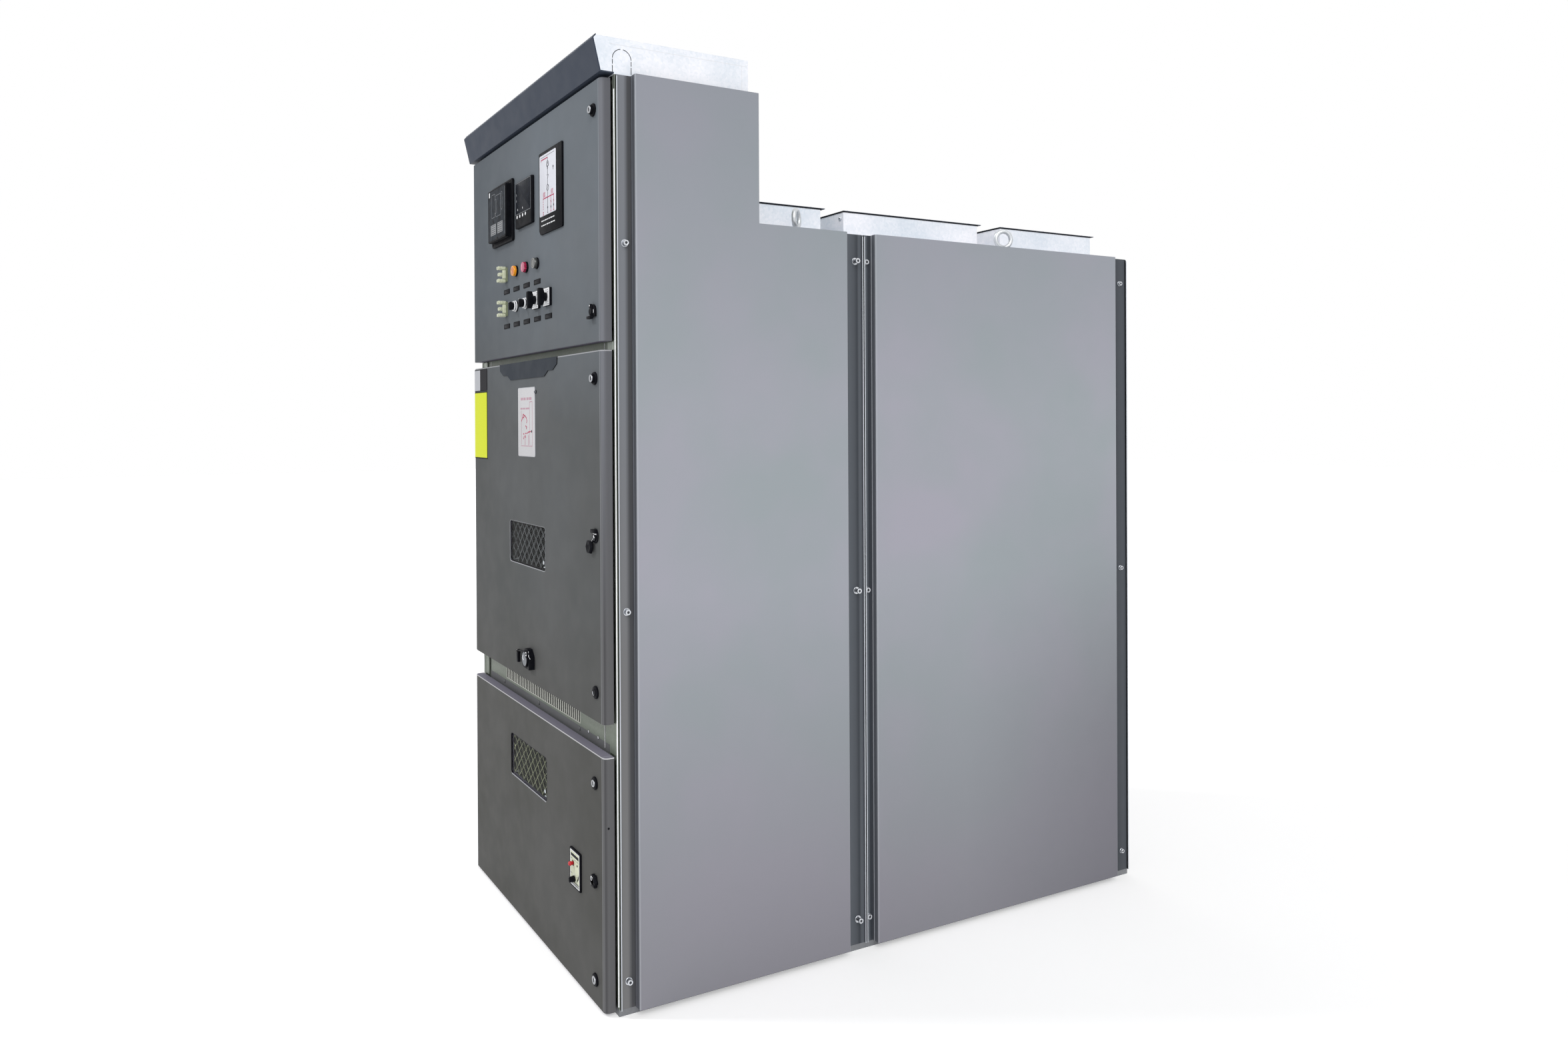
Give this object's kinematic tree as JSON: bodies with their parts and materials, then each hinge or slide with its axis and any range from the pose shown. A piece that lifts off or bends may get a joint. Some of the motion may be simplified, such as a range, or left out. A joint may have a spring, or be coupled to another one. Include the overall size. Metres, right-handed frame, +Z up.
{
  "type": "metal-enclosed switchgear panel",
  "caption": "Floor-standing medium-voltage cabinet with a tall front module, hinged front doors, windows, a lower rear module, roof relief ducts and end side panels.",
  "frame": {"origin": "middle of the floor frame's fixing holes, on the floor", "axes": "+Z up, +Y towards the back of the cabinet, +X to the right seen from the doors"},
  "size_m": [1.052, 1.719, 2.23],
  "materials": {
    "zinc_sheet": "aluminium-zinc coated sheet, satin",
    "galvanised": "hot-dip galvanised sheet, bright",
    "panel_paint": "fine-texture powder coat, mid grey",
    "door_paint": "fine-texture powder coat, dark grey",
    "slate_paint": "powder coat, slate blue",
    "black_plastic": "moulded, matt black",
    "cream_plastic": "moulded, cream",
    "lens_plastic": "translucent lenses, amber, red and grey",
    "red_plastic": "moulded, red",
    "pane": "clear toughened pane"
  },
  "bodies": {
    "cabinet": {"base_frame": "zinc_sheet", "front_posts": "zinc_sheet", "front_rails": "zinc_sheet", "side_walls": "zinc_sheet", "instrument_compartment": "zinc_sheet", "instrument_mounting_plate": "galvanised", "breaker_floor": "zinc_sheet", "shutter_wall": "zinc_sheet", "busbar_partition": "zinc_sheet", "side_panel_front_right": "panel_paint", "side_panel_front_left": "panel_paint", "side_panel_rear_right": "panel_paint", "side_panel_rear_left": "panel_paint", "instrument_roof_box": "galvanised", "canopy": "slate_paint", "roof_plates": "galvanised", "relief_ducts": "galvanised", "relief_lids": "slate_paint", "lifting_eyes": "galvanised", "rear_covers": "panel_paint", "hinge_brackets": "zinc_sheet"},
    "upper_door": {"instrument_door": "door_paint", "protection_relay": "black_plastic", "multimeter": "black_plastic", "mimic_panel": "black_plastic", "indicator_lamps": "lens_plastic", "switch_bases": "black_plastic", "link_terminals": "cream_plastic"},
    "upper_door_lock": {"instrument_lock": "black_plastic"},
    "selector_left": {"selector_handle_left": "black_plastic"},
    "selector_right": {"selector_handle_right": "black_plastic"},
    "cam_switch_left": {"cam_handle_left": "black_plastic"},
    "cam_switch_right": {"cam_handle_right": "black_plastic"},
    "middle_door": {"breaker_door": "door_paint", "emblem_plate": "slate_paint", "breaker_window": "pane", "racking_housing": "black_plastic"},
    "racking_flap": {"racking_cover": "black_plastic"},
    "middle_door_lock": {"breaker_lock": "black_plastic"},
    "lower_door": {"cable_door": "door_paint", "cable_window": "pane", "voltage_indicator": "cream_plastic"},
    "test_button": {"indicator_button": "red_plastic"},
    "test_knob": {"indicator_knob": "black_plastic"},
    "lower_door_lock": {"cable_lock": "black_plastic"}
  },
  "joints": [
    {"name": "upper_door_swing", "type": "hinge", "parent": "cabinet", "child": "upper_door", "pos_m": [-0.495, -0.847, 1.839], "axis": [0, 0, -1], "range_deg": [0, 110]},
    {"name": "middle_door_swing", "type": "hinge", "parent": "cabinet", "child": "middle_door", "pos_m": [-0.495, -0.847, 1.093], "axis": [0, 0, -1], "range_deg": [0, 110]},
    {"name": "lower_door_swing", "type": "hinge", "parent": "cabinet", "child": "lower_door", "pos_m": [-0.495, -0.847, 0.2995], "axis": [0, 0, -1], "range_deg": [0, 110]},
    {"name": "upper_door_lock_turn", "type": "hinge", "parent": "upper_door", "child": "upper_door_lock", "pos_m": [0.445, -0.86, 1.61], "axis": [0, 1, 0], "range_deg": [0, 90]},
    {"name": "middle_door_lock_turn", "type": "hinge", "parent": "middle_door", "child": "middle_door_lock", "pos_m": [0.45, -0.86, 1.094], "axis": [0, 1, 0], "range_deg": [0, 90]},
    {"name": "lower_door_lock_turn", "type": "hinge", "parent": "lower_door", "child": "lower_door_lock", "pos_m": [0.436, -0.86, 0.294], "axis": [0, 1, 0], "range_deg": [0, 90]},
    {"name": "selector_left_turn", "type": "hinge", "parent": "upper_door", "child": "selector_left", "pos_m": [-0.0905, -0.86, 1.674], "axis": [0, 1, 0], "range_deg": [-45, 45]},
    {"name": "selector_right_turn", "type": "hinge", "parent": "upper_door", "child": "selector_right", "pos_m": [-0.009, -0.86, 1.674], "axis": [0, 1, 0], "range_deg": [-45, 45]},
    {"name": "cam_switch_left_turn", "type": "hinge", "parent": "upper_door", "child": "cam_switch_left", "pos_m": [0.0725, -0.86, 1.674], "axis": [0, 1, 0], "range_deg": [-45, 45]},
    {"name": "cam_switch_right_turn", "type": "hinge", "parent": "upper_door", "child": "cam_switch_right", "pos_m": [0.154, -0.86, 1.674], "axis": [0, 1, 0], "range_deg": [-45, 45]},
    {"name": "racking_cover_turn", "type": "hinge", "parent": "middle_door", "child": "racking_flap", "pos_m": [0.024, -0.876, 0.746], "axis": [0, 1, 0], "range_deg": [0, 110]},
    {"name": "test_button_push", "type": "slide", "parent": "lower_door", "child": "test_button", "axis": [0, 1, 0], "range_m": [0, 0.003], "stiffness_N_per_m": 150},
    {"name": "test_knob_turn", "type": "hinge", "parent": "lower_door", "child": "test_knob", "pos_m": [0.318, -0.86, 0.257], "axis": [0, 1, 0], "range_deg": [-60, 60]}
  ]
}
